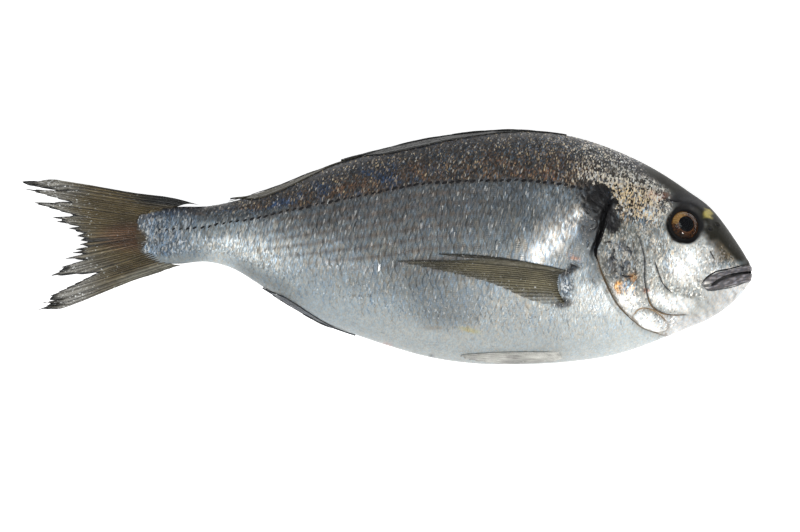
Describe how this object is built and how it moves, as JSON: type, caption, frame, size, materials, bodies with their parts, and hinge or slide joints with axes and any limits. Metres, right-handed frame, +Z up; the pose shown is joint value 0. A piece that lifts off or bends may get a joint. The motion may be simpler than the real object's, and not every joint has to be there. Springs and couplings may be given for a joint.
{
  "type": "whole raw sea bream",
  "caption": "Whole raw sea bream lying on its left side: deep oval body, gill cover, eyes, shut mouth, folded fins and a frayed forked tail.",
  "frame": {"origin": "on the table, under the middle of the fish's bounding box", "axes": "+X to the snout, +Y to the back (dorsal edge), +Z up out of the right flank, away from the table"},
  "size_m": [0.3404, 0.1105, 0.0439],
  "materials": {
    "skin": "wet silvery scales, dark grey-brown on the back, blue-grey on the flank and pale on the belly",
    "head": "wet silvery skin with gold and dark mottling",
    "fins": "thin wet olive-brown fin skin over darker rays",
    "eye": "amber iris round a black pupil",
    "cornea": "clear and wet"
  },
  "bodies": {
    "root": {"fish": "skin", "eye_right": "eye", "eye_left": "eye"}
  },
  "joints": []
}
